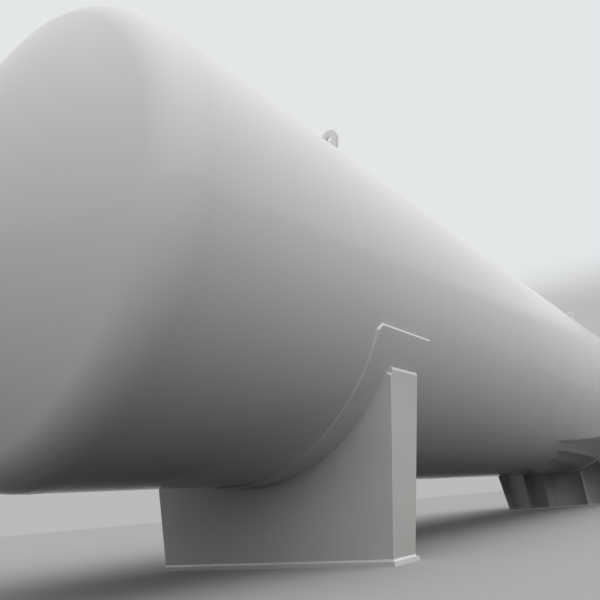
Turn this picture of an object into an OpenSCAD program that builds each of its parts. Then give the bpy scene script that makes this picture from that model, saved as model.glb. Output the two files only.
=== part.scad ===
// Horizontal pressure tank on two welded saddles.
// X runs along the tank, Z is up, and the origin lies on the ground midway between the saddles.

/* [Vessel] */
// Outside diameter of the shell
shell_d = 3000; // [2600:10:3400]
// Length of the cylindrical shell between the two head seams
shell_l = 12520; // [11500:10:14000]
// Wall thickness of the shell
shell_t = 16; // [12:1:24]
// Wall thickness of the heads
head_t = 18; // [14:1:26]
// Inside straight flange between a head seam and the knuckle
head_flange = 55; // [40:5:100]
// Outside crown radius of a head as a share of the shell diameter
crown_ratio = 1.0; // [0.9:0.01:1.05]
// Outside knuckle radius of a head as a share of the shell diameter
knuckle_ratio = 0.1; // [0.08:0.01:0.15]
// Height of the tank axis above the ground
axis_z = 2100; // [2030:5:2200]

/* [Saddles] */
// Distance from each head seam to the middle of its base plate
saddle_inset = 1992; // [1800:2:2100]
// Depth of a base plate along the tank
base_l = 350; // [330:5:400]
// Width of a base plate across the tank
base_w = 2246; // [2180:2:2260]
// Thickness of a base plate
base_t = 28; // [22:1:40]
// Setback of the web plate from the outer edge of the base plate
web_setback = 10; // [6:1:30]
// Thickness of the web plate
web_t = 16; // [12:1:22]
// Thickness of each rib
rib_t = 16; // [12:1:22]
// Outward lean of the outer ribs in degrees
rib_lean = 8; // [4:0.5:10]
// Setback of the outer ribs from the side edge of the base plate
rib_margin = 12; // [6:1:30]
// Setback of a rib foot from the inner edge of the base plate
rib_setback = 37; // [20:1:60]
// Slant of the free edge of a rib in degrees
rib_flare = 4.2; // [0:0.1:6]
// Angle that the web plate wraps under the shell
web_angle = 110.6; // [107:0.2:112]
// Angle between the tops of the outer ribs
rib_angle = 113.2; // [112:0.2:118]
// Half spacing of the middle pair of ribs
mid_rib_y = 345; // [250:10:400]
// Half spacing of the second pair of ribs
side_rib_y = 715; // [620:5:760]

/* [Wear pads] */
// Thickness of a wear pad
pad_t = 14; // [10:1:20]
// Length of a wear pad along the tank
pad_l = 780; // [700:10:860]
// Shift of a wear pad toward its head, from the middle of the base plate
pad_shift = 36; // [0:1:60]
// Angle that a wear pad wraps under the shell
pad_angle = 134; // [128:1:140]
// Corner cut of a wear pad
pad_corner = 42; // [20:5:80]

/* [Anchor bolts] */
// Hole radius in the base plates
anchor_r = 14; // [10:1:18]
// Half spacing of the anchor bolts across the tank
anchor_y = 970; // [900:10:1000]
// Distance of the anchor bolts from the inner edge of a base plate
anchor_edge = 100; // [80:5:110]
// Length of each slot in the sliding saddle
slot_l = 60; // [40:5:80]

/* [Lifting lugs] */
// Angle of the lugs from the top of the shell
lug_angle = 30; // [25:1:40]
// Distance from each head seam to the middle of its lugs
lug_inset = 2140; // [2000:10:2300]
// Height of a lug hole above the shell
lug_hole_h = 143; // [125:1:160]
// Outer radius of a lug around its hole
lug_r = 88; // [78:1:100]
// Radius of a lug hole
lug_hole_r = 30; // [20:1:36]
// Thickness of a lug plate
lug_t = 30; // [20:1:45]
// Width of a lug plate at the shell
lug_w = 290; // [240:5:320]
// Thickness of the doubler plate under a lug
doubler_t = 12; // [8:1:16]
// Length of a doubler plate along the tank
doubler_l = 180; // [140:5:220]
// Width of a doubler plate across the tank
doubler_w = 360; // [340:5:400]

/* [Nozzles] */
// Outside radius of the manway neck
manway_r = 265; // [240:5:280]
// Height of the manway flange face above the shell
manway_h = 230; // [200:5:280]
// Outside radius of the manway flange
manway_flange_r = 360; // [350:5:380]
// Thickness of the manway flange
manway_flange_t = 46; // [36:1:55]
// Distance of the manway from the middle of the tank
manway_x = 0; // [-300:50:300]
// Wall thickness of the manway neck
manway_t = 14; // [10:1:20]
// Radius of the reinforcing pad round the manway
manway_pad_r = 450; // [420:5:480]
// Thickness of the reinforcing pad
manway_pad_t = 14; // [10:1:20]
// Number of studs in the manway flange
manway_studs = 20; // [16:4:24]
// Diameter of the stud circle of the manway
manway_pcd = 635; // [625:1:645]
// Radius of a stud hole in the manway flange
manway_hole_r = 16; // [13:0.5:16]
// Height of the small nozzle faces above the shell
nozzle_h = 170; // [150:5:220]
// Outside radius of the small nozzle necks
nozzle_r = 57; // [44:0.5:60]
// Wall thickness of the small nozzle necks
nozzle_t = 8; // [5:0.5:10]
// Outside radius of the small flanges
flange_r = 110; // [105:1:120]
// Thickness of the small flanges
flange_t = 24; // [18:1:30]
// Number of studs in a small flange
small_studs = 8; // [4:4:8]
// Diameter of the stud circle of a small flange
small_pcd = 177; // [172:1:182]
// Radius of a stud hole in a small flange
small_hole_r = 9; // [7:0.5:9]
// Height of the raised face on a flange
face_h = 3; // [1:0.5:5]
// Room between a raised face and the stud holes
face_room = 5; // [3:0.5:8]
// Distance of the inlet nozzle from the middle of the tank
inlet_x = -1800; // [-2200:50:-1500]
// Distance of the relief nozzle from the middle of the tank
relief_x = 1800; // [1600:50:2000]
// Distance of the vent nozzle from the middle of the tank
vent_x = 2500; // [2300:50:2900]
// Distance of the drain nozzle from the far head seam
drain_inset = 900; // [700:10:1000]

/* [Hidden] */
$fn = 96;
course_count = 5;
fine = 360;
shell_r = shell_d / 2;
course_l = shell_l / course_count;
head_x = shell_l / 2;
crown_r = crown_ratio * shell_d;
knuckle_r = knuckle_ratio * shell_d;
saddle_x = head_x - saddle_inset;
lug_x = head_x - lug_inset;
pad_r = shell_r + pad_t;
base_x = base_l / 2;
web_x = -base_x + web_setback;
rib_x = base_x - rib_setback;
drain_x = head_x - drain_inset;
foot_y = base_w / 2 - rib_margin;
horn_top_z = axis_z - pad_r * cos(rib_angle / 2);
spare = 60;
white = [0.87, 0.87, 0.85];

// Half section of a dished head, flat side on the seam, with the axis up
module dish_section(r, crown, knuckle, flange) {
  centre_r = r - knuckle;
  lean = asin(centre_r / (crown - knuckle));
  drop = (crown - knuckle) * cos(lean);
  tip_r = crown * sin(lean);
  tip_z = crown * cos(lean) - drop;
  translate([0, flange]) {
    intersection() {
      translate([0, -drop]) circle(r = crown);
      polygon([[0, 0], [0, crown], [tip_r, crown], [tip_r, tip_z], [centre_r, 0]]);
    }
    intersection() {
      translate([centre_r, 0]) circle(r = knuckle);
      polygon([
        [centre_r, 0],
        [tip_r, tip_z],
        [tip_r, tip_z + knuckle],
        [r + 1, tip_z + knuckle],
        [r + 1, 0]
      ]);
    }
  }
  square([r, flange]);
}

// Dished head on the shell, near where end is -1
module head(end) {
  color(white)
    translate([end * head_x, 0, axis_z])
      scale([end, 1, 1])
        rotate([0, 90, 0])
          rotate_extrude($fn = fine)
            difference() {
              dish_section(shell_r, crown_r, knuckle_r, head_flange);
              dish_section(shell_r - head_t, crown_r - head_t, knuckle_r - head_t, head_flange);
            }
}

module tube_x(r, inner_r, length) {
  rotate([0, 90, 0])
    difference() {
      cylinder(r = r, h = length, $fn = fine);
      translate([0, 0, -1]) cylinder(r = inner_r, h = length + 2, $fn = fine);
    }
}

// One rolled course of the shell, counted from the near end
module shell_course(i) {
  color(white)
    translate([0, 0, axis_z])
      difference() {
        translate([-head_x + (i - 1) * course_l, 0, 0])
          tube_x(shell_r, shell_r - shell_t, course_l);
        if (i == 2) shell_hole(inlet_x, nozzle_r - nozzle_t, 1);
        if (i == 3) shell_hole(manway_x, manway_r - manway_t, 1);
        if (i == 4) shell_hole(relief_x, nozzle_r - nozzle_t, 1);
        if (i == 4) shell_hole(vent_x, nozzle_r - nozzle_t, 1);
        if (i == 5) shell_hole(drain_x, nozzle_r - nozzle_t, -1);
      }
}

// Hole through the shell wall, at the top where side is 1
module shell_hole(x, r, side) {
  translate([x, 0, side > 0 ? 0 : -2 * shell_r])
    cylinder(r = r, h = 2 * shell_r);
}

// Wear pad that wraps under the shell
module wear_pad() {
  color(white)
    translate([-pad_shift, 0, axis_z])
      difference() {
        intersection() {
          pad_ring();
          wedge(pad_angle / 2, pad_l + spare);
        }
        for (side = [-1, 1], end = [-1, 1]) pad_corner_cut(side, end);
      }
}

module pad_ring() {
  translate([pad_l / 2, 0, 0])
    rotate([0, -90, 0])
      difference() {
        cylinder(r = pad_r, h = pad_l, $fn = fine);
        translate([0, 0, -1]) cylinder(r = shell_r, h = pad_l + 2, $fn = fine);
      }
}

// Wedge under the axis, open by the half angle on both sides
module wedge(half, length) {
  reach = shell_d;
  rotate([90, 0, 90])
    linear_extrude(length, center = true)
      polygon([
        [0, 0],
        [-reach * sin(half), -reach * cos(half)],
        [-reach * sin(half), -reach],
        [reach * sin(half), -reach],
        [reach * sin(half), -reach * cos(half)]
      ]);
}

// Straight cut across one corner of the wear pad
module pad_corner_cut(side, end) {
  rotate([side * pad_angle / 2, 0, 0])
    translate([end * pad_l / 2, 0, -pad_r - spare])
      linear_extrude(pad_t + 2 * spare)
        polygon([
          [-end * (pad_corner + spare), side * spare],
          [end * spare, -side * (pad_corner + spare)],
          [end * spare, side * spare]
        ]);
}

// Base plate with anchor holes, drilled round or slotted
module base_plate(slot) {
  color(white)
    difference() {
      translate([-base_x, -base_w / 2, 0]) cube([base_l, base_w, base_t]);
      for (side = [-1, 1])
        translate([base_x - anchor_edge, side * anchor_y, -1])
          anchor_hole(slot);
    }
}

module anchor_hole(slot) {
  for (shift = [-slot / 2, slot / 2])
    translate([shift, 0, 0]) cylinder(r = anchor_r, h = base_t + 2);
  if (slot > 0)
    translate([-slot / 2, -anchor_r, 0]) cube([slot, 2 * anchor_r, base_t + 2]);
}

// Round space about the tank axis, for fitting pieces onto the vessel
module round_space(r) {
  translate([-base_l, 0, 0])
    rotate([0, 90, 0])
      cylinder(r = r, h = 2 * base_l, $fn = fine);
}

// Web plate on the outer side of a saddle, cut square to the wear pad at both horns
module web_plate() {
  half = web_angle / 2;
  rise = (axis_z - base_t) * tan(rib_lean);
  reach = (foot_y + rise) / (sin(half) + tan(rib_lean) * cos(half));
  color(white)
    translate([web_x, 0, 0])
      rotate([90, 0, 90])
        linear_extrude(web_t)
          difference() {
            polygon([
              [-foot_y, base_t],
              [foot_y, base_t],
              [reach * sin(half), axis_z - reach * cos(half)],
              [0, axis_z],
              [-reach * sin(half), axis_z - reach * cos(half)]
            ]);
            translate([0, axis_z]) circle(r = pad_r, $fn = fine);
          }
}

// Rib from the web plate to its slanted free edge, with its foot at z = 0
module rib_plate(height) {
  rotate([90, 0, 0])
    linear_extrude(rib_t)
      polygon([
        [web_x + web_t, -spare],
        [rib_x - spare * tan(rib_flare), -spare],
        [rib_x + height * tan(rib_flare), height],
        [web_x + web_t, height]
      ]);
}

// Room over the base plate and outside the wear pad
module saddle_room() {
  difference() {
    translate([-base_l, -shell_d, base_t])
      cube([2 * base_l, 2 * shell_d, axis_z]);
    translate([0, 0, axis_z]) round_space(pad_r);
  }
}

// Leaning rib along one side of a saddle, on the right where side is -1
module outer_rib(side) {
  color(white)
    intersection() {
      scale([1, -side, 1])
        translate([0, -foot_y, base_t])
          rotate([rib_lean, 0, 0])
            translate([0, rib_t, 0])
              rib_plate(horn_top_z);
      translate([0, 0, axis_z]) wedge(rib_angle / 2, 2 * base_l);
      saddle_room();
    }
}

// Upright rib at a distance from the middle
module inner_rib(y) {
  color(white)
    intersection() {
      translate([0, y + rib_t / 2, base_t])
        rib_plate(horn_top_z);
      saddle_room();
    }
}

module middle_ribs() {
  for (side = [-1, 1]) inner_rib(side * mid_rib_y);
}

// Move a saddle piece to the near end, or mirrored to the far end
module at_saddle(end) {
  translate([end * saddle_x, 0, 0])
    scale([-end, 1, 1])
      children();
}

// Move a piece from the top of the shell to a lug place
module at_lug(end, side) {
  translate([end * lug_x, 0, axis_z])
    rotate([side * -lug_angle, 0, 0])
      children();
}

// Lug plate across the tank, with a rounded head, sloping sides and a hole
module lifting_lug() {
  centre_z = shell_r + lug_hole_h;
  foot_z = shell_r - doubler_t;
  rise = centre_z - foot_z;
  turn = atan2(rise, lug_w / 2) - acos(lug_r / norm([lug_w / 2, rise]));
  side_y = lug_r * cos(turn);
  side_z = centre_z - lug_r * sin(turn);
  color(white)
    difference() {
      translate([-lug_t / 2, 0, 0])
        rotate([90, 0, 90])
          linear_extrude(lug_t)
            difference() {
              union() {
                translate([0, centre_z]) circle(r = lug_r);
                polygon([
                  [-lug_w / 2, foot_z],
                  [lug_w / 2, foot_z],
                  [side_y, side_z],
                  [0, centre_z],
                  [-side_y, side_z]
                ]);
              }
              translate([0, centre_z]) circle(r = lug_hole_r);
            }
      round_space(shell_r + doubler_t);
    }
}

// Curved doubler between a lug and the shell
module lug_pad() {
  color(white)
    intersection() {
      translate([-doubler_l / 2, 0, 0]) tube_x(shell_r + doubler_t, shell_r, doubler_l);
      translate([-doubler_l, -doubler_w / 2, 0]) cube([2 * doubler_l, doubler_w, shell_d]);
    }
}

// Ring of stud holes through a flange
module stud_holes(pcd, count, r, z, h) {
  for (i = [0 : count - 1])
    rotate([0, 0, (i + 0.5) * 360 / count])
      translate([pcd / 2, 0, z]) cylinder(r = r, h = h, $fn = 24);
}

// Flange with a raised face, from its back at z = 0 to its face at z = thick
module flange(r, thick, pcd, hole_r) {
  cylinder(r = r, h = thick - face_h);
  cylinder(r = pcd / 2 - hole_r - face_room, h = thick);
}

// Neck and flange on the shell, standing along +Z
module flanged_neck(neck_r, wall, r, thick, height, pcd, count, hole_r) {
  top = shell_r + height;
  difference() {
    union() {
      cylinder(r = neck_r, h = top);
      translate([0, 0, top - thick]) flange(r, thick, pcd, hole_r);
    }
    translate([0, 0, -1]) cylinder(r = neck_r - wall, h = top + 2);
    translate([-neck_r, 0, 0])
      rotate([0, 90, 0])
        translate([0, 0, -neck_r]) cylinder(r = shell_r, h = 4 * neck_r, $fn = fine);
    stud_holes(pcd, count, hole_r, top - thick - 1, thick + 2);
  }
}

// Blind cover, face down on a flange
module blind_cover(r, thick, height, pcd, count, hole_r) {
  top = shell_r + height;
  difference() {
    translate([0, 0, top + thick]) rotate([180, 0, 0]) flange(r, thick, pcd, hole_r);
    stud_holes(pcd, count, hole_r, top - 1, thick + 2);
  }
}

module at_top(x) {
  translate([x, 0, axis_z]) children();
}

module at_bottom(x) {
  translate([x, 0, axis_z]) rotate([180, 0, 0]) children();
}

// Curved reinforcing plate round the manway neck
module manway_pad() {
  length = 2 * manway_pad_r;
  color(white)
    at_top(manway_x)
      difference() {
        intersection() {
          translate([-manway_pad_r, 0, 0]) tube_x(shell_r + manway_pad_t, shell_r, length);
          cylinder(r = manway_pad_r, h = shell_r + 2 * manway_pad_t);
        }
        cylinder(r = manway_r, h = shell_r + 2 * manway_pad_t);
      }
}

module manway_neck() {
  color(white)
    at_top(manway_x)
      flanged_neck(
        manway_r, manway_t, manway_flange_r, manway_flange_t,
        manway_h, manway_pcd, manway_studs, manway_hole_r
      );
}

module manway_cover() {
  color(white)
    at_top(manway_x)
      blind_cover(
        manway_flange_r, manway_flange_t, manway_h, manway_pcd, manway_studs, manway_hole_r
      );
}

module small_nozzle() {
  color(white)
    flanged_neck(
      nozzle_r, nozzle_t, flange_r, flange_t, nozzle_h, small_pcd, small_studs, small_hole_r
    );
}

module small_cover() {
  color(white)
    blind_cover(flange_r, flange_t, nozzle_h, small_pcd, small_studs, small_hole_r);
}

head(-1);  // head_near
head(1);  // head_far
shell_course(1);  // shell_course_1
shell_course(2);  // shell_course_2
shell_course(3);  // shell_course_3
shell_course(4);  // shell_course_4
shell_course(5);  // shell_course_5
at_saddle(-1) wear_pad();  // wear_pad_near
at_saddle(1) wear_pad();  // wear_pad_far
at_saddle(-1) base_plate(0);  // base_plate_near
at_saddle(1) base_plate(slot_l);  // base_plate_far
at_saddle(-1) web_plate();  // web_plate_near
at_saddle(1) web_plate();  // web_plate_far
at_saddle(-1) outer_rib(-1);  // outer_rib_near_right
at_saddle(-1) outer_rib(1);  // outer_rib_near_left
at_saddle(1) outer_rib(-1);  // outer_rib_far_right
at_saddle(1) outer_rib(1);  // outer_rib_far_left
at_saddle(-1) inner_rib(-side_rib_y);  // side_rib_near_right
at_saddle(-1) inner_rib(side_rib_y);  // side_rib_near_left
at_saddle(1) inner_rib(-side_rib_y);  // side_rib_far_right
at_saddle(1) inner_rib(side_rib_y);  // side_rib_far_left
at_saddle(-1) middle_ribs();  // middle_ribs_near
at_saddle(1) middle_ribs();  // middle_ribs_far
at_lug(-1, -1) lifting_lug();  // lifting_lug_near_right
at_lug(-1, 1) lifting_lug();  // lifting_lug_near_left
at_lug(1, -1) lifting_lug();  // lifting_lug_far_right
at_lug(1, 1) lifting_lug();  // lifting_lug_far_left
at_lug(-1, -1) lug_pad();  // lug_pad_near_right
at_lug(-1, 1) lug_pad();  // lug_pad_near_left
at_lug(1, -1) lug_pad();  // lug_pad_far_right
at_lug(1, 1) lug_pad();  // lug_pad_far_left
manway_pad();
manway_neck();
manway_cover();
at_top(inlet_x) small_nozzle();  // inlet_nozzle
at_top(inlet_x) small_cover();  // inlet_cover
at_top(relief_x) small_nozzle();  // relief_nozzle
at_top(relief_x) small_cover();  // relief_cover
at_top(vent_x) small_nozzle();  // vent_nozzle
at_top(vent_x) small_cover();  // vent_cover
at_bottom(drain_x) small_nozzle();  // drain_nozzle
at_bottom(drain_x) small_cover();  // drain_cover
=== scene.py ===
"""Horizontal pressure tank on two saddles: paint, weld beads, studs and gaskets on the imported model."""
import math

import bmesh
import bpy
from mathutils import Matrix, Vector, noise


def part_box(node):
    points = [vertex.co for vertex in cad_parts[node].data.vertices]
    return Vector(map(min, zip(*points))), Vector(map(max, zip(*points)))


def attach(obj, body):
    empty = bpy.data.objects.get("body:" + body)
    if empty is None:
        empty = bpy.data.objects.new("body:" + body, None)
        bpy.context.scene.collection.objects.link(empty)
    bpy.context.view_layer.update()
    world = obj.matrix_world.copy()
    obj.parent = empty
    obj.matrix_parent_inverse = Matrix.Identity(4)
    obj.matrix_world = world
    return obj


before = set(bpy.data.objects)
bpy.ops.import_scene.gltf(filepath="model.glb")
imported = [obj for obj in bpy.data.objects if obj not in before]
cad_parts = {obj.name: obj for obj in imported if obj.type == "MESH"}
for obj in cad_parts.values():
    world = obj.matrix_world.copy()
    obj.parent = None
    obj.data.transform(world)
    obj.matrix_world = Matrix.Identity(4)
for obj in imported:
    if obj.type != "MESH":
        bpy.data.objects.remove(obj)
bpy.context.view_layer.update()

# Camera, from the lines of the shell and saddles in the photograph: its place in metres, its angles in
# radians, lens and sensor in millimetres, and the nearest and furthest that shows, in metres
CAMERA_AT = (-8.0373, -3.2022, 0.3990)
CAMERA_YAW = 0.63311
CAMERA_PITCH = 0.33951
CAMERA_ROLL = -0.0910
CAMERA_LENS = 35.32
SENSOR = 36.0
NEAREST_SEEN = 0.05
FURTHEST_SEEN = 1000

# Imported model: places nearer than this lie on the same edge or face, in metres
CLOSE = 0.001

# Meshes: corners within this many metres are merged, and edges over these degrees are sharp
MERGE_WITHIN = 1e-5
SHARP = 40
STUD_SHARP = 25

# Weld beads, in metres; a leg is the width of a fillet on each of the two plates that it joins
SEAM_WIDTH = 0.018
SEAM_HEIGHT = 0.0018
SEAM_STEP = 0.032
PAD_LEG = 0.013
PLATE_LEG = 0.010
WEB_TOP_LEG = 0.014
BASE_LEG = 0.009
HORN_LEG = 0.018
NOZZLE_LEG = 0.010
NECK_LEG = 0.013
CORNER_LEG = 0.009
CORNER_HEIGHT = 0.0025
BEAD_SINK = 0.0015
BEAD_STEP = 0.016

# Weld beads: how far a fillet at the foot climbs and any fillet bulges, as shares of the leg, then how
# uneven beads are, as a share of their size, and how close the ripples lie
BASE_RISE = 1.5
FILLET_BULGE = 0.12
RIPPLE = 0.07
RIPPLE_SCALE = 31

# Weld beads: points across one, fewest spans of a straight and of a round one, and steps at a corner
BEAD_POINTS = 5
LEAST_STRAIGHT = 2
LEAST_ROUND = 24
BEND_STEPS = 4

# Welds along the courses: angles from the top that take turns, in degrees, and the first seed
LONG_SEAM_AT = (48, 72)
LONG_SEED = 20

# Bolted connections: number of studs, and radius of a stud in metres
STUDS = {
    "manway": (20, 0.0135),
    "inlet": (8, 0.008),
    "relief": (8, 0.008),
    "vent": (8, 0.008),
    "drain": (8, 0.008),
}

# Studs: radius and height of nuts and washers, bare end and its point, as shares of the stud's radius
NUT_RADIUS = 1.75
NUT_HEIGHT = 1.8
WASHER_RADIUS = 2.0
WASHER_HEIGHT = 0.22
STUD_SPARE = 0.7
POINT_LENGTH = 0.2
POINT_RADIUS = 0.8
ROD_POINTS = 16
WASHER_POINTS = 24

# Nuts: chamfer as a share of the height, and radius of the seat and the top as shares of the radius
NUT_CHAMFER = 0.12
NUT_SEAT = 0.92
NUT_TOP = 0.90
NUT_SIDES = 6

# Gasket edges: metres, then the share of the thickness that is left at the rim
GASKET_THICK = 0.003
GASKET_PROUD = 0.0015
GASKET_RIM = 0.8
GASKET_POINTS = 96

# Colours, linear
SHELL_WHITE = (0.85, 0.832, 0.822)
WEB_WHITE = (0.81, 0.795, 0.81)
# Ribs: a darker copy of the saddle's white, as painted shade
RIB_WHITE_PAINTED_SHADE = (0.775, 0.76, 0.745)
# Base plates: a lighter copy of the saddle's white, as painted light
BASE_WHITE_PAINTED_LIGHT = (0.86, 0.85, 0.85)
BEAD_WHITE = (0.83, 0.825, 0.82)
DUST = (0.56, 0.54, 0.50)
# Road dust colour, which also carries the painted shade of the ribs
ROAD_DUST_AND_SHADE = (0.36, 0.34, 0.31)
ZINC = (0.56, 0.57, 0.56)
ZINC_STAIN = (0.40, 0.39, 0.36)
GASKET_GREY = (0.045, 0.045, 0.05)
GASKET_WORN = (0.09, 0.09, 0.09)

# Paint: share of the colour in its darkest places, the most of runs, dust, grime and stain, roughness
# from smoothest to dullest, depth of waves and top of splashes in metres, and how much duller splashes
# are. MID_NOISE is where most of a noise's values lie
MID_NOISE = (0.3, 0.7)
SHELL_TONE = 0.97
SHELL_RUNS = 0.07
SHELL_DUST = 0.10
SHELL_GLOSS = (0.16, 0.26)
SHELL_WAVE = 0.0015
PLATE_TONE = 0.95
PLATE_RUNS = 0.09
PLATE_GLOSS = (0.28, 0.42)
SPLASH_DULL = 0.6
SPLASH_TOP = 0.12
BEAD_GRIME = 0.3
BEAD_GLOSS = (0.2, 0.35)
ZINC_STAINED = 0.35
ZINC_GLOSS = (0.3, 0.5)

# Welded plates: colour, top of the film of road dust and painted shade in metres, most of the film, most
# of the splashes
PLATES = {
    "web": (WEB_WHITE, 1.0, 0.16, 0.15),
    # Ribs: a film far deeper and higher than the web's, as painted shade that darkens them toward the
    # foot
    "rib": (RIB_WHITE_PAINTED_SHADE, 1.9, 0.34, 0.10),
    # Base plates: little film and few splashes, which keeps them lighter, as painted light
    "base": (BASE_WHITE_PAINTED_LIGHT, 1.0, 0.03, 0.06),
}

# Light: the direction that it comes from, the cosines to it between which it grows from LIGHT_BACK to
# LIGHT_FRONT, its share at the horizon, and the sine of the height from which it is whole
LIGHT_FROM = (-0.30, -0.75, 0.60)
LIGHT_SPREAD = (0.3, 1.0)
LIGHT_BACK = 0.54
LIGHT_FRONT = 2.90
LIGHT_LOW = 0.15
LIGHT_FULL_AT = 0.65

# Backdrop above and below, and the sines of the heights between which it pales; then the floor as it is
# seen, the share of light that it throws back, and its radius in metres
SKY_SEEN = (0.775, 0.795, 0.805)
LOW_SEEN = (0.50, 0.495, 0.50)
LOW_UNTIL = 0.25
SKY_AT = 0.335
FLOOR_PALE = 0.45
FLOOR_BOUNCE = 0.04
FLOOR_RADIUS = 400.0
FLOOR_POINTS = 128

X = Vector((1, 0, 0))
Y = Vector((0, 1, 0))
Z = Vector((0, 0, 1))

# Words in the nodes' names: which end of the tank along X, and which side of it along Y
ENDS = {-1: "near", 1: "far"}
HANDS = {-1: "right", 1: "left"}

# The vessel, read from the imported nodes
shell_lo, shell_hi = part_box("shell_course_1")
shell_r = (shell_hi.y - shell_lo.y) / 2
axis_z = (shell_hi.z + shell_lo.z) / 2
course_count = sum(name.startswith("shell_course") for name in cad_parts)


def on_shell(x, angle, radius):
    """Point round the tank axis; the angle runs from the top toward +Y."""
    return Vector((x, radius * math.sin(angle), axis_z + radius * math.cos(angle)))


def radial(angle):
    """Direction away from the tank axis."""
    return Vector((0, math.sin(angle), math.cos(angle)))


def around(angle):
    """Direction of a growing angle."""
    return Vector((0, math.cos(angle), -math.sin(angle)))


def compass(turn):
    """Level direction, by its turn from +X."""
    return Vector((math.cos(turn), math.sin(turn), 0))


def node_points(name):
    """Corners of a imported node's mesh."""
    return [v.co.copy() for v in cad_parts[name].data.vertices]


class Shape:
    """Vertices and faces of one piece, gathered part by part."""

    def __init__(self):
        self.points = []
        self.faces = []

    def loft(self, rings, closed=False):
        """Skin over rings with equal counts of points, capped at both ends unless it runs round."""
        start = len(self.points)
        count = len(rings[0])
        for ring in rings:
            self.points.extend(ring)
        spans = len(rings) if closed else len(rings) - 1
        for i in range(spans):
            low = start + i * count
            high = start + (i + 1) % len(rings) * count
            for j in range(count):
                k = (j + 1) % count
                self.faces.append((low + j, low + k, high + k, high + j))
        if not closed:
            last = start + (len(rings) - 1) * count
            self.faces.append(tuple(range(start + count - 1, start - 1, -1)))
            self.faces.append(tuple(range(last, last + count)))

    def piece(self, name, material, sharp=SHARP):
        """Make the mesh object, with every face outward, under the root body."""
        mesh = bpy.data.meshes.new(name)
        mesh.from_pydata(self.points, [], self.faces)
        shaped = bmesh.new()
        shaped.from_mesh(mesh)
        bmesh.ops.remove_doubles(shaped, verts=shaped.verts, dist=MERGE_WITHIN)
        bmesh.ops.recalc_face_normals(shaped, faces=shaped.faces)
        shaped.to_mesh(mesh)
        shaped.free()
        mesh.validate()
        mesh.materials.append(material)
        mesh.shade_smooth()
        mesh.set_sharp_from_angle(angle=math.radians(sharp))
        made = bpy.data.objects.new(name, mesh)
        bpy.context.scene.collection.objects.link(made)
        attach(made, "root")


def wobble(place, seed):
    """Uneven size of a hand-laid bead, round one; each seed takes another part of the noise."""
    return 1 + RIPPLE * noise.noise(place * RIPPLE_SCALE + Vector((seed, 0, 0)))


def bead(shape, stations, leg, closed=False, height=None, seed=0):
    """Weld bead along stations of (corner, one leg's direction, the other leg's direction, outward)."""
    rings = []
    for corner, side_a, side_b, out in stations:
        size = wobble(corner, seed)
        bulge = (height if height is not None else FILLET_BULGE * leg) * size
        ring = [corner - out * BEAD_SINK]
        for i in range(BEAD_POINTS):
            t = i / (BEAD_POINTS - 1)
            run = side_a * (1 - t) + side_b * t
            ring.append(corner + run * leg * size + out * bulge * math.sin(math.pi * t))
        rings.append(ring)
    shape.loft(rings, closed)


def corner_station(corner, side_a, side_b):
    """Station of a fillet between two plates."""
    return corner, side_a, side_b, (side_a + side_b).normalized()


def straight_bead(shape, start, end, side_a, side_b, leg, seed=0):
    """Fillet along a straight joint."""
    count = max(LEAST_STRAIGHT, round((end - start).length / BEAD_STEP))
    stations = [
        corner_station(start.lerp(end, i / count), side_a, side_b) for i in range(count + 1)
    ]
    bead(shape, stations, leg, seed=seed)


def flat_loop(corners):
    """Places round a convex outline on a flat sheet, each with its outward direction."""
    places = []
    count = len(corners)
    for i in range(count):
        here = Vector(corners[i])
        after = Vector(corners[(i + 1) % count])
        before = Vector(corners[i - 1])
        run = (after - here).normalized()
        came = (here - before).normalized()
        out_before = Vector((came.y, -came.x))
        out = Vector((run.y, -run.x))
        for k in range(BEND_STEPS):
            places.append((here, out_before.lerp(out, k / BEND_STEPS).normalized()))
        steps = max(1, round((after - here).length / BEAD_STEP))
        for k in range(steps):
            places.append((here.lerp(after, k / steps), out))
    return places


def rectangle(points, half_arc):
    """Corners of an unrolled plate as long as the points along the tank, outward on the right."""
    x_low = min(p.x for p in points)
    x_high = max(p.x for p in points)
    return [(x_low, -half_arc), (x_high, -half_arc), (x_high, half_arc), (x_low, half_arc)]


def sheet_bead(shape, corners, radius, middle_angle, leg, up=None):
    """Fillet round a plate that lies on the cylinder: corners are (x, arc length from the middle)."""
    stations = []
    for place, out in flat_loop(corners):
        angle = middle_angle + place.y / radius
        side_a = X * out.x + around(angle) * out.y
        side_b = up if up is not None else radial(angle)
        stations.append(corner_station(on_shell(place.x, angle, radius), side_a, side_b))
    bead(shape, stations, leg, closed=True)


def circle_bead(shape, centre, radius, surface_r, leg, up, seed):
    """Fillet round an upright neck, where it meets the surface that lies surface_r from the tank axis.

    With surface_r None the surface is level, at the centre's height.
    """
    count = max(LEAST_ROUND, round(2 * math.pi * radius / BEAD_STEP))
    stations = []
    for i in range(count):
        out = compass(2 * math.pi * i / count)
        offset = out * radius
        if surface_r is None:
            corner = centre + offset
            side_a = out
        else:
            rise = math.sqrt(surface_r * surface_r - offset.y * offset.y)
            corner = Vector((centre.x + offset.x, offset.y, axis_z + up.z * rise))
            normal = Vector((0, offset.y, up.z * rise)).normalized()
            side_a = (out - normal * out.dot(normal)).normalized()
        stations.append(corner_station(corner, side_a, up))
    bead(shape, stations, leg, closed=True, seed=seed)


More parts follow.
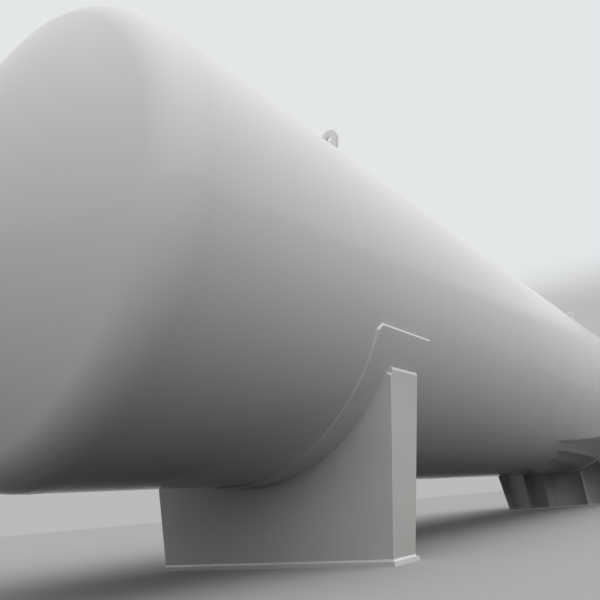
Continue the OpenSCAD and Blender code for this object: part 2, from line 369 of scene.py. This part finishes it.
class Nodes:
    """Shader nodes of one tree, made and joined in single calls."""

    def __init__(self, tree):
        self.tree = tree

    def node(self, kind, **settings):
        """New node with some of its settings."""
        made = self.tree.nodes.new(kind)
        for name, value in settings.items():
            setattr(made, name, value)
        return made

    def link(self, source, target):
        self.tree.links.new(source, target)

    def range(self, value, low, high, to_low=0.0, to_high=1.0, kind="LINEAR"):
        """Value that goes from to_low to to_high while the given one goes from low to high."""
        made = self.node("ShaderNodeMapRange", interpolation_type=kind)
        made.inputs["From Min"].default_value = low
        made.inputs["From Max"].default_value = high
        made.inputs["To Min"].default_value = to_low
        made.inputs["To Max"].default_value = to_high
        self.link(value, made.inputs["Value"])
        return made.outputs["Result"]

    def math(self, operation, a, b):
        """Sum, product and the like of two numbers or sockets."""
        made = self.node("ShaderNodeMath", operation=operation)
        for socket, value in zip(made.inputs, (a, b)):
            if isinstance(value, (int, float)):
                socket.default_value = value
            else:
                self.link(value, socket)
        return made.outputs["Value"]

    def mix(self, share, first, second):
        """Colour mix; first and second are colours or sockets."""
        made = self.node("ShaderNodeMix", data_type="RGBA")
        self.link(share, made.inputs["Factor"])
        for name, value in (("A", first), ("B", second)):
            socket = [s for s in made.inputs if s.name == name and s.type == "RGBA"][0]
            if isinstance(value, tuple):
                socket.default_value = (*value, 1)
            else:
                self.link(value, socket)
        return [s for s in made.outputs if s.type == "RGBA"][0]

    def blend(self, share, first, second):
        """Shader mix."""
        made = self.node("ShaderNodeMixShader")
        self.link(share, made.inputs["Fac"])
        self.link(first, made.inputs[1])
        self.link(second, made.inputs[2])
        return made.outputs["Shader"]

    def axis(self, source, name):
        """One component of a vector, X, Y or Z."""
        split = self.node("ShaderNodeSeparateXYZ")
        self.link(source, split.inputs["Vector"])
        return split.outputs[name]

    def seen_share(self):
        """One for camera, glossy and transmission rays, so that gloss shows the same backdrop."""
        path = self.node("ShaderNodeLightPath")
        total = path.outputs["Is Camera Ray"]
        for name in ("Is Glossy Ray", "Is Transmission Ray"):
            total = self.math("MAXIMUM", total, path.outputs[name])
        return total


class Finish(Nodes):
    """A procedural material that is put together node by node."""

    def __init__(self, name, colour, roughness):
        self.material = bpy.data.materials.new(name)
        self.material.use_nodes = True
        super().__init__(self.material.node_tree)
        self.shader = self.tree.nodes["Principled BSDF"]
        self.shader.inputs["Base Color"].default_value = (*colour, 1)
        self.shader.inputs["Roughness"].default_value = roughness
        self.place = self.node("ShaderNodeTexCoord").outputs["Object"]

    def set(self, **values):
        """Constant values straight on the shader's sockets."""
        for name, value in values.items():
            self.shader.inputs[name.replace("_", " ")].default_value = value

    def normal_z(self):
        """One where the surface looks up, and minus one where it looks down."""
        return self.axis(self.node("ShaderNodeNewGeometry").outputs["Normal"], "Z")

    def noise(self, scale, detail, stretch=(1, 1, 1), rough=0.5):
        """Noise fixed to the surface, squeezed along each axis by its stretch."""
        mapping = self.node("ShaderNodeMapping")
        mapping.inputs["Scale"].default_value = stretch
        self.link(self.place, mapping.inputs["Vector"])
        texture = self.node("ShaderNodeTexNoise")
        texture.inputs["Scale"].default_value = scale
        texture.inputs["Detail"].default_value = detail
        texture.inputs["Roughness"].default_value = rough
        self.link(mapping.outputs["Vector"], texture.inputs["Vector"])
        return texture.outputs["Fac"]

    def cloudy(self, scale, detail, low=0.0, high=1.0):
        """Value that drifts between two others from place to place."""
        return self.range(self.noise(scale, detail), *MID_NOISE, low, high)

    def toned(self, colour, share, scale, detail):
        """The colour, with places where it is down to a share of itself."""
        return self.mix(self.cloudy(scale, detail), tuple(c * share for c in colour), colour)

    def colour(self, source):
        self.link(source, self.shader.inputs["Base Color"])

    def roughness(self, source):
        self.link(source, self.shader.inputs["Roughness"])

    def bump(self, *layers):
        """Bump layers of (height source, depth in metres), stacked."""
        last = None
        for source, depth in layers:
            made = self.node("ShaderNodeBump")
            made.inputs["Strength"].default_value = 1.0
            made.inputs["Distance"].default_value = depth
            self.link(source, made.inputs["Height"])
            if last is not None:
                self.link(last, made.inputs["Normal"])
            last = made.outputs["Normal"]
        self.link(last, self.shader.inputs["Normal"])
        return last


def shell_enamel():
    """Glossy white enamel with dust on top, faint runs down the sides and gently wavy plates."""
    look = Finish("shell_enamel", SHELL_WHITE, roughness=0.2)
    look.set(Coat_Weight=0.8, Coat_Roughness=0.05, Coat_IOR=1.5, IOR=1.0)
    tinted = look.toned(SHELL_WHITE, SHELL_TONE, scale=0.7, detail=2)
    up = look.normal_z()
    runs = look.noise(1.0, 4, stretch=(9, 0.5, 0.5), rough=0.6)
    side = look.range(look.math("ABSOLUTE", up, 0), 0.9, 0.3)
    run_share = look.math("MULTIPLY", look.range(runs, 0.56, 0.76, to_high=SHELL_RUNS), side)
    streaked = look.mix(run_share, tinted, DUST)
    film = look.range(look.noise(2.4, 5, rough=0.6), 0.35, 0.7, to_low=0.1)
    dust = look.math("MULTIPLY", film, look.range(up, 0.35, 1.0, to_high=SHELL_DUST))
    look.colour(look.mix(dust, streaked, DUST))
    look.roughness(look.math("ADD", look.cloudy(3.1, 4, *SHELL_GLOSS), dust))
    normal = look.bump((look.noise(0.9, 1.5), SHELL_WAVE))
    look.link(normal, look.shader.inputs["Coat Normal"])
    return look.material


def plate_enamel(name, white, dust_and_shade_top, dust_and_shade_most, splash_most):
    """Satin white on a welded plate, with a film from dust_and_shade_top down and splashes below; the
    film is road dust, and on the ribs also painted shade.
    """
    look = Finish(name, white, roughness=0.35)
    look.set(Coat_Weight=0.2, Coat_Roughness=0.2, IOR=1.42)
    tinted = look.toned(white, PLATE_TONE, scale=3.5, detail=3)
    runs = look.noise(1.0, 4, stretch=(14, 14, 0.8), rough=0.6)
    streaked = look.mix(look.range(runs, 0.55, 0.75, to_high=PLATE_RUNS), tinted, DUST)
    height = look.axis(look.place, "Z")
    splash = look.range(height, SPLASH_TOP, 0.0, to_high=splash_most)
    # Darker toward the foot: road dust, and on the ribs painted shade
    film = look.range(height, dust_and_shade_top, 0.0, to_high=dust_and_shade_most)
    patchy = look.range(look.noise(16, 5, rough=0.65), 0.35, 0.65, to_low=0.2)
    dust = look.math("ADD", film, look.math("MULTIPLY", splash, patchy))
    look.colour(look.mix(dust, streaked, ROAD_DUST_AND_SHADE))
    dull = look.math("MULTIPLY", splash, SPLASH_DULL)
    look.roughness(look.math("ADD", look.cloudy(9, 4, *PLATE_GLOSS), dull))
    look.bump((look.noise(2.2, 2), 0.0012), (look.noise(190, 2), 0.00006))
    return look.material


def bead_enamel():
    """Painted weld metal with fine ripples."""
    look = Finish("bead_enamel", BEAD_WHITE, roughness=0.25)
    look.set(Coat_Weight=0.6, Coat_Roughness=0.1, IOR=1.45)
    grime = look.range(look.noise(24, 4), 0.55, 0.8, to_high=BEAD_GRIME)
    look.colour(look.mix(grime, BEAD_WHITE, DUST))
    look.roughness(look.cloudy(40, 3, *BEAD_GLOSS))
    look.bump((look.noise(160, 2), 0.0008))
    return look.material


def stud_zinc():
    """Dull zinc plate."""
    look = Finish("stud_zinc", ZINC, roughness=0.38)
    look.set(Metallic=0.9)
    stain = look.range(look.noise(60, 4), 0.4, 0.7, to_high=ZINC_STAINED)
    look.colour(look.mix(stain, ZINC, ZINC_STAIN))
    look.roughness(look.cloudy(90, 3, *ZINC_GLOSS))
    look.bump((look.noise(400, 2), 0.0001))
    return look.material


def gasket_graphite():
    """Dark grey sheet, worn lighter in places."""
    look = Finish("gasket_graphite", GASKET_GREY, roughness=0.7)
    look.colour(look.mix(look.noise(120, 3), GASKET_GREY, GASKET_WORN))
    look.bump((look.noise(500, 2), 0.0002))
    return look.material


def dress_cad_nodes(looks):
    """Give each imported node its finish."""
    for name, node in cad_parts.items():
        finish = looks["shell"]
        if name.startswith("web_"):
            finish = looks["web"]
        elif name.startswith("base_"):
            finish = looks["base"]
        elif name.startswith(("outer_rib", "side_rib", "middle_ribs")):
            finish = looks["rib"]
        if len(node.material_slots) == 0:
            node.data.materials.append(finish)
        for slot in node.material_slots:
            slot.material = finish


def even_heads():
    """Shade each dished head evenly, with modifiers that leave its shape as it is.

    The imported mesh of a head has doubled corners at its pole, with uneven normals.
    """
    for word in ENDS.values():
        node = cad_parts[f"head_{word}"]
        weld = node.modifiers.new("weld", "WELD")
        weld.merge_threshold = MERGE_WITHIN
        split = node.modifiers.new("corners", "EDGE_SPLIT")
        split.split_angle = math.radians(SHARP)
        split.use_edge_sharp = False
        even = node.modifiers.new("even", "WEIGHTED_NORMAL")
        even.mode = "FACE_AREA_WITH_ANGLE"


def shell_seams(material):
    """Butt welds round the shell and along each course."""
    courses = [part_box(f"shell_course_{i + 1}") for i in range(course_count)]
    places = [lo.x for lo, hi in courses] + [courses[-1][1].x]
    for number, x in enumerate(places):
        shape = Shape()
        count = round(2 * math.pi * shell_r / SEAM_STEP)
        turns = [2 * math.pi * i / count for i in range(count)]
        stations = [(on_shell(x, turn, shell_r), X, -X, radial(turn)) for turn in turns]
        bead(shape, stations, SEAM_WIDTH / 2, closed=True, height=SEAM_HEIGHT, seed=number)
        shape.piece(f"round_seam_{number + 1}", material)
    shape = Shape()
    for number, (lo, hi) in enumerate(courses):
        angle = math.radians(LONG_SEAM_AT[number % 2])
        side = around(angle)
        count = round((hi.x - lo.x) / SEAM_STEP)
        stations = []
        for i in range(count + 1):
            x = lo.x + (hi.x - lo.x) * i / count
            stations.append((on_shell(x, angle, shell_r), side, -side, radial(angle)))
        bead(shape, stations, SEAM_WIDTH / 2, height=SEAM_HEIGHT, seed=LONG_SEED + number)
    shape.piece("long_seams", material)


class Saddle:
    """Edges of one saddle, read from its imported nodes; its outer side is toward the nearest head."""

    def __init__(self, end):
        self.word = ENDS[end]
        self.outer = X * end
        inward = -end
        self.base_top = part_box(f"base_plate_{self.word}")[1].z
        self.pad_lo, self.pad_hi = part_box(f"wear_pad_{self.word}")
        self.pad_r = axis_z - self.pad_lo.z
        web_lo, web_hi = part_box(f"web_plate_{self.word}")
        self.web_out = web_lo.x if end < 0 else web_hi.x
        self.web_in = web_hi.x if end < 0 else web_lo.x
        web = node_points(f"web_plate_{self.word}")
        self.foot_y = max(p.y for p in web if p.z < self.base_top + CLOSE)
        self.web_top = max((p for p in web if p.z > web_hi.z - CLOSE), key=lambda p: p.y)
        self.web_tip = max(web, key=lambda p: p.y)
        self.lean = math.atan2(self.web_tip.y - self.foot_y, self.web_tip.z - self.base_top)
        rib = node_points(f"outer_rib_{self.word}_left")
        self.rib_top = max(rib, key=lambda p: p.z)
        self.rib_crest = max(p.x * inward for p in rib) * inward
        side_lo, side_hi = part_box(f"side_rib_{self.word}_left")
        self.rib_t = side_hi.y - side_lo.y
        side = (side_lo.y + side_hi.y) / 2
        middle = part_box(f"middle_ribs_{self.word}")[1].y - self.rib_t / 2
        self.inner_ribs = (-side, -middle, middle, side)
        points = node_points(f"side_rib_{self.word}_left")
        self.rib_foot = max(p.x * inward for p in points if p.z < side_lo.z + CLOSE) * inward
        crest = max(p.x * inward for p in points) * inward
        self.slant = (crest - self.rib_foot) / (side_hi.z - side_lo.z)

    def rib_edge(self, z):
        """Where the free edge of an upright rib lies along the tank."""
        return self.rib_foot + self.slant * (z - self.base_top)


def pad_outline(lo, hi, cut, half_arc):
    """Corners of a wear pad, unrolled, in order so that outward is on the right."""
    return [
        (lo.x + cut, -half_arc),
        (hi.x - cut, -half_arc),
        (hi.x, -half_arc + cut),
        (hi.x, half_arc - cut),
        (hi.x - cut, half_arc),
        (lo.x + cut, half_arc),
        (lo.x, half_arc - cut),
        (lo.x, -half_arc + cut),
    ]


def pad_beads(saddle, material):
    """Fillet round the wear pad."""
    points = node_points(f"wear_pad_{saddle.word}")
    cut = saddle.pad_hi.x - max(p.x for p in points if p.z > saddle.pad_hi.z - CLOSE)
    half_angle = math.acos((axis_z - saddle.pad_hi.z) / shell_r)
    shape = Shape()
    outline = pad_outline(saddle.pad_lo, saddle.pad_hi, cut, shell_r * half_angle)
    sheet_bead(shape, outline, shell_r, math.pi, PAD_LEG)
    shape.piece(f"pad_bead_{saddle.word}", material)


def cradle_beads(shape, saddle):
    """Fillets along both sides of the web under the wear pad."""
    half = math.atan2(saddle.web_top.y, axis_z - saddle.web_top.z)
    count = round(2 * half * saddle.pad_r / BEAD_STEP)
    for face, direction in ((saddle.web_out, saddle.outer), (saddle.web_in, -saddle.outer)):
        stations = []
        for i in range(count + 1):
            angle = math.pi - half + 2 * half * i / count
            corner = on_shell(face, angle, saddle.pad_r)
            stations.append(corner_station(corner, direction, radial(angle)))
        bead(shape, stations, PLATE_LEG, seed=3)


def inner_rib_beads(shape, saddle):
    """Fillets of the upright ribs on the web, the base plate and the wear pad."""
    for y in saddle.inner_ribs:
        for face in (-1, 1):
            face_y = y + face * saddle.rib_t / 2
            meet = axis_z - math.sqrt(saddle.pad_r * saddle.pad_r - face_y * face_y)
            low = Vector((saddle.web_in, face_y, saddle.base_top))
            high = Vector((saddle.web_in, face_y, meet))
            foot = Vector((saddle.rib_foot, face_y, saddle.base_top))
            crest = Vector((saddle.rib_edge(meet), face_y, meet))
            straight_bead(shape, low, high, -saddle.outer, Y * face, PLATE_LEG)
            straight_bead(shape, low, foot, Y * face, Z, PLATE_LEG)
            normal = Vector((0, face_y, meet - axis_z)).normalized()
            slope = around(math.atan2(face_y, meet - axis_z))
            slope = slope if slope.y * face > 0 else -slope
            straight_bead(shape, high, crest, slope, normal, PLATE_LEG)


def outer_rib_beads(shape, saddle, side):
    """Fillets of a leaning rib on the web and the base plate, on its inner and outer face."""
    up = Vector((0, side * math.sin(saddle.lean), math.cos(saddle.lean)))
    across = Vector((0, -side * math.cos(saddle.lean), math.sin(saddle.lean)))
    inner_y = side * (saddle.foot_y - saddle.rib_t / math.cos(saddle.lean))
    low = Vector((saddle.web_in, inner_y, saddle.base_top))
    # How far up along the rib the wear pad's round is
    start = low - Z * axis_z - X * low.x
    along = start.dot(up)
    reach = -along - math.sqrt(along * along - start.length_squared + saddle.pad_r * saddle.pad_r)
    straight_bead(shape, low, low + up * reach, -saddle.outer, across, PLATE_LEG)
    foot = Vector((saddle.rib_foot, inner_y, saddle.base_top))
    straight_bead(shape, low, foot, -Y * side, Z, PLATE_LEG)
    front = Vector((saddle.web_out, side * saddle.foot_y, saddle.base_top))
    rear = Vector((saddle.rib_foot, side * saddle.foot_y, saddle.base_top))
    straight_bead(shape, front, rear, Y * side, up * BASE_RISE, BASE_LEG, seed=7)


def corner_seam(shape, saddle, side):
    """Low seam up the outer face, where the web plate meets the outer rib."""
    low = Vector((saddle.web_in, side * saddle.foot_y, saddle.base_top))
    high = Vector((saddle.web_in, side * saddle.web_tip.y, saddle.web_tip.z))
    out = Vector((0, side * math.cos(saddle.lean), -math.sin(saddle.lean)))
    count = round((high - low).length / BEAD_STEP)
    stations = [(low.lerp(high, i / count), X, -X, out) for i in range(count + 1)]
    bead(shape, stations, CORNER_LEG, height=CORNER_HEIGHT, seed=10)


def horn_beads(shape, saddle, side):
    """Heavy fillets on top of a horn: rib to wear pad, and web plate to rib."""
    top = Vector((0, side * saddle.rib_top.y, saddle.rib_top.z - axis_z))
    outward = top.normalized()
    climb = Vector((0, side * -outward.z, side * outward.y))
    corner = Vector((0, top.y, saddle.rib_top.z))
    start = corner + X * saddle.web_in
    straight_bead(shape, start, corner + X * saddle.rib_crest, outward, climb, HORN_LEG, seed=8)
    low = Vector((saddle.web_in, side * saddle.web_top.y, saddle.web_top.z))
    high = Vector((saddle.web_in, side * saddle.web_tip.y, saddle.web_tip.z))
    straight_bead(shape, low, high, saddle.outer, climb, WEB_TOP_LEG, seed=9)


def saddle_welds(end, material, rib_finish_with_painted_shade):
    """All welds of one saddle; the seams at its corners have the finish of the ribs, with its painted
    shade.
    """
    saddle = Saddle(end)
    pad_beads(saddle, material)
    shape = Shape()
    cradle_beads(shape, saddle)
    inner_rib_beads(shape, saddle)
    start = Vector((saddle.web_out, -saddle.foot_y, saddle.base_top))
    stop = Vector((saddle.web_out, saddle.foot_y, saddle.base_top))
    straight_bead(shape, start, stop, saddle.outer, Z * BASE_RISE, BASE_LEG)
    shape.piece(f"saddle_beads_{saddle.word}", material)
    shape = Shape()
    seams = Shape()
    for side in HANDS:
        outer_rib_beads(shape, saddle, side)
        horn_beads(shape, saddle, side)
        corner_seam(seams, saddle, side)
    shape.piece(f"horn_beads_{saddle.word}", material)
    seams.piece(f"corner_seams_{saddle.word}", rib_finish_with_painted_shade)


def lug_welds(end, side, material):
    """Fillets of a doubler on the shell and of the lug on its doubler."""
    place = f"{ENDS[end]}_{HANDS[side]}"
    doubler = [p - Z * axis_z for p in node_points(f"lug_pad_{place}")]
    middle = sum(math.atan2(p.y, p.z) for p in doubler) / len(doubler)
    half_angle = max(abs(math.atan2(p.y, p.z) - middle) for p in doubler)
    doubler_r = max(math.hypot(p.y, p.z) for p in doubler)
    lug = [p - Z * axis_z for p in node_points(f"lifting_lug_{place}")]
    half_plate = max(abs(p.dot(around(middle))) for p in lug)
    shape = Shape()
    outline = rectangle(doubler, shell_r * half_angle)
    sheet_bead(shape, outline, shell_r, middle, PLATE_LEG)
    outline = rectangle(lug, doubler_r * math.asin(half_plate / doubler_r))
    sheet_bead(shape, outline, doubler_r, middle, PLATE_LEG, up=radial(middle))
    shape.piece(f"lug_beads_{place}", material)


def disc(centre, up, radius, height, count, turn=0.0):
    """Ring of points across a direction, at a height along it."""
    side = up.orthogonal().normalized()
    other = up.cross(side)
    middle = centre + up * height
    ring = []
    for i in range(count):
        angle = turn + 2 * math.pi * i / count
        ring.append(middle + side * radius * math.cos(angle) + other * radius * math.sin(angle))
    return ring


def nut(shape, centre, up, radius, height, turn):
    """Hexagon nut with chamfered ends, sitting on the centre point."""
    chamfer = NUT_CHAMFER * height
    rings = ((NUT_SEAT, 0), (1, chamfer), (1, height - chamfer), (NUT_TOP, height))
    shape.loft([disc(centre, up, radius * share, at, NUT_SIDES, turn) for share, at in rings])


def washer(shape, centre, up, radius, height):
    """Plain washer, lying on the centre point."""
    shape.loft([disc(centre, up, radius, at, WASHER_POINTS) for at in (0, height)])


def stud(shape, centre, up, grip, rod_r, turn):
    """Stud through both flanges, with a washer and nut at each end."""
    nut_h = rod_r * NUT_HEIGHT
    washer_h = rod_r * WASHER_HEIGHT
    for direction in (1, -1):
        away = up * direction
        face = centre + away * grip / 2
        washer(shape, face, away, rod_r * WASHER_RADIUS, washer_h)
        nut(shape, face + away * washer_h, away, rod_r * NUT_RADIUS, nut_h, turn)
    reach = grip / 2 + washer_h + nut_h + rod_r * STUD_SPARE
    point = rod_r * POINT_LENGTH
    tip_r = rod_r * POINT_RADIUS
    rings = ((tip_r, -reach), (rod_r, point - reach), (rod_r, reach - point), (tip_r, reach))
    shape.loft([disc(centre, up, radius, at, ROD_POINTS) for radius, at in rings])


def studs(name, face, up, grip, circle_r, material):
    """Studs of one connection, evenly round the bolt circle."""
    count, rod_r = STUDS[name]
    shape = Shape()
    for i in range(count):
        turn = 2 * math.pi * (i + 0.5) / count
        stud(shape, face + compass(turn) * circle_r, up, grip, rod_r, turn)
    shape.piece(f"{name}_studs", material, sharp=STUD_SHARP)


def gasket(name, face, face_r, material):
    """Edge of the gasket, which stands a little proud of the raised faces."""
    shape = Shape()
    half = Z * GASKET_THICK / 2
    rings = []
    for i in range(GASKET_POINTS):
        out = compass(2 * math.pi * i / GASKET_POINTS)
        inner = face + out * (face_r - GASKET_PROUD)
        outer = face + out * (face_r + GASKET_PROUD)
        rings.append([inner - half, outer - half * GASKET_RIM, outer + half * GASKET_RIM, inner + half])
    shape.loft(rings, closed=True)
    shape.piece(f"{name}_gasket", material)


def neck_beads(name, face, up, thick, material):
    """Fillets of a neck under its flange and on the shell, and of the manway's pad."""
    neck = "manway_neck" if name == "manway" else f"{name}_nozzle"
    under = face - up * thick
    neck_r = max((p - face).xy.length for p in node_points(neck) if (under - p).dot(up) > CLOSE)
    shape = Shape()
    circle_bead(shape, under, neck_r, None, NOZZLE_LEG, -up, seed=2)
    middle = Vector((face.x, 0, 0))
    base_r = shell_r
    if name == "manway":
        pad_lo, pad_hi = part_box("manway_pad")
        base_r = pad_hi.z - axis_z
        circle_bead(shape, middle, (pad_hi.x - pad_lo.x) / 2, shell_r, NOZZLE_LEG, up, seed=5)
    circle_bead(shape, middle, neck_r, base_r, NECK_LEG, up, seed=4)
    shape.piece(f"{name}_beads", material)


def connection(name, materials):
    """Studs, gasket edge and neck welds of one bolted connection."""
    cover_lo, cover_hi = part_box(f"{name}_cover")
    up = Z if cover_lo.z > axis_z else -Z
    thick = cover_hi.z - cover_lo.z
    face = (cover_lo + cover_hi) / 2
    face.z = cover_lo.z if up.z > 0 else cover_hi.z
    flange_r = (cover_hi.x - cover_lo.x) / 2
    reaches = [((p - face).xy.length, abs(p.z - face.z)) for p in node_points(f"{name}_cover")]
    face_r = max(reach for reach, rise in reaches if rise < CLOSE)
    holes = [reach for reach, rise in reaches if face_r + CLOSE < reach < flange_r - CLOSE]
    circle_r = (min(holes) + max(holes)) / 2
    studs(name, face, up, 2 * thick, circle_r, materials["zinc"])
    gasket(name, face, face_r, materials["gasket"])
    neck_beads(name, face, up, thick, materials["bead"])


def make_camera():
    """Camera at the photograph's place and angle."""
    data = bpy.data.cameras.new("camera")
    data.sensor_fit = "HORIZONTAL"
    data.sensor_width = SENSOR
    data.lens = CAMERA_LENS
    data.clip_start = NEAREST_SEEN
    data.clip_end = FURTHEST_SEEN
    camera = bpy.data.objects.new("camera", data)
    bpy.context.scene.collection.objects.link(camera)
    bpy.context.scene.camera = camera
    forward = Vector((
        math.cos(CAMERA_PITCH) * math.cos(CAMERA_YAW),
        math.cos(CAMERA_PITCH) * math.sin(CAMERA_YAW),
        math.sin(CAMERA_PITCH),
    ))
    level = Vector((math.sin(CAMERA_YAW), -math.cos(CAMERA_YAW), 0))
    upright = level.cross(forward)
    right = level * math.cos(CAMERA_ROLL) + upright * math.sin(CAMERA_ROLL)
    up = upright * math.cos(CAMERA_ROLL) - level * math.sin(CAMERA_ROLL)
    turn = Matrix((right, up, -forward)).transposed()
    camera.matrix_world = Matrix.Translation(CAMERA_AT) @ turn.to_4x4()


def make_world():
    """Soft studio light from the camera's side and a pale backdrop that darkens toward the floor."""
    world = bpy.data.worlds.new("studio")
    bpy.context.scene.world = world
    world.use_nodes = True
    world.node_tree.nodes.clear()
    look = Nodes(world.node_tree)
    place = look.node("ShaderNodeTexCoord").outputs["Generated"]
    toward = look.node("ShaderNodeVectorMath", operation="DOT_PRODUCT")
    toward.inputs[1].default_value = Vector(LIGHT_FROM).normalized()
    look.link(place, toward.inputs[0])
    height = look.axis(place, "Z")

    front = look.range(toward.outputs["Value"], *LIGHT_SPREAD, LIGHT_BACK, LIGHT_FRONT)
    high = look.range(height, 0, LIGHT_FULL_AT, to_low=LIGHT_LOW)
    light = look.node("ShaderNodeBackground")
    look.link(look.math("MULTIPLY", front, high), light.inputs["Strength"])

    rise = look.range(height, LOW_UNTIL, SKY_AT, kind="SMOOTHSTEP")
    seen = look.node("ShaderNodeBackground")
    look.link(look.mix(rise, LOW_SEEN, SKY_SEEN), seen.inputs["Color"])
    out = look.node("ShaderNodeOutputWorld")
    both = look.blend(look.seen_share(), light.outputs["Background"], seen.outputs["Background"])
    look.link(both, out.inputs["Surface"])


def make_floor():
    """Wide plain floor, pale to the eye and in gloss, which throws little light back up."""
    turns = [2 * math.pi * i / FLOOR_POINTS for i in range(FLOOR_POINTS)]
    mesh = bpy.data.meshes.new("floor")
    mesh.from_pydata([compass(turn) * FLOOR_RADIUS for turn in turns], [], [range(FLOOR_POINTS)])
    material = bpy.data.materials.new("floor_grey")
    material.use_nodes = True
    material.node_tree.nodes.clear()
    look = Nodes(material.node_tree)
    shades = []
    for value in (FLOOR_BOUNCE, FLOOR_PALE):
        shade = look.node("ShaderNodeBsdfDiffuse")
        shade.inputs["Color"].default_value = (value, value, value, 1)
        shades.append(shade.outputs["BSDF"])
    out = look.node("ShaderNodeOutputMaterial")
    look.link(look.blend(look.seen_share(), *shades), out.inputs["Surface"])
    mesh.materials.append(material)
    floor = bpy.data.objects.new("floor", mesh)
    bpy.context.scene.collection.objects.link(floor)


def build():
    """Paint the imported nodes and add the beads, studs and gaskets."""
    looks = {"shell": shell_enamel()}
    for word, values in PLATES.items():
        looks[word] = plate_enamel(f"{word}_enamel", *values)
    materials = {"bead": bead_enamel(), "zinc": stud_zinc(), "gasket": gasket_graphite()}
    dress_cad_nodes(looks)
    even_heads()
    shell_seams(looks["shell"])
    for end in ENDS:
        saddle_welds(end, materials["bead"], looks["rib"])
        for side in HANDS:
            lug_welds(end, side, materials["bead"])
    for name in STUDS:
        connection(name, materials)


make_camera()
make_world()
make_floor()
build()
bpy.context.scene.view_settings.view_transform = "Standard"
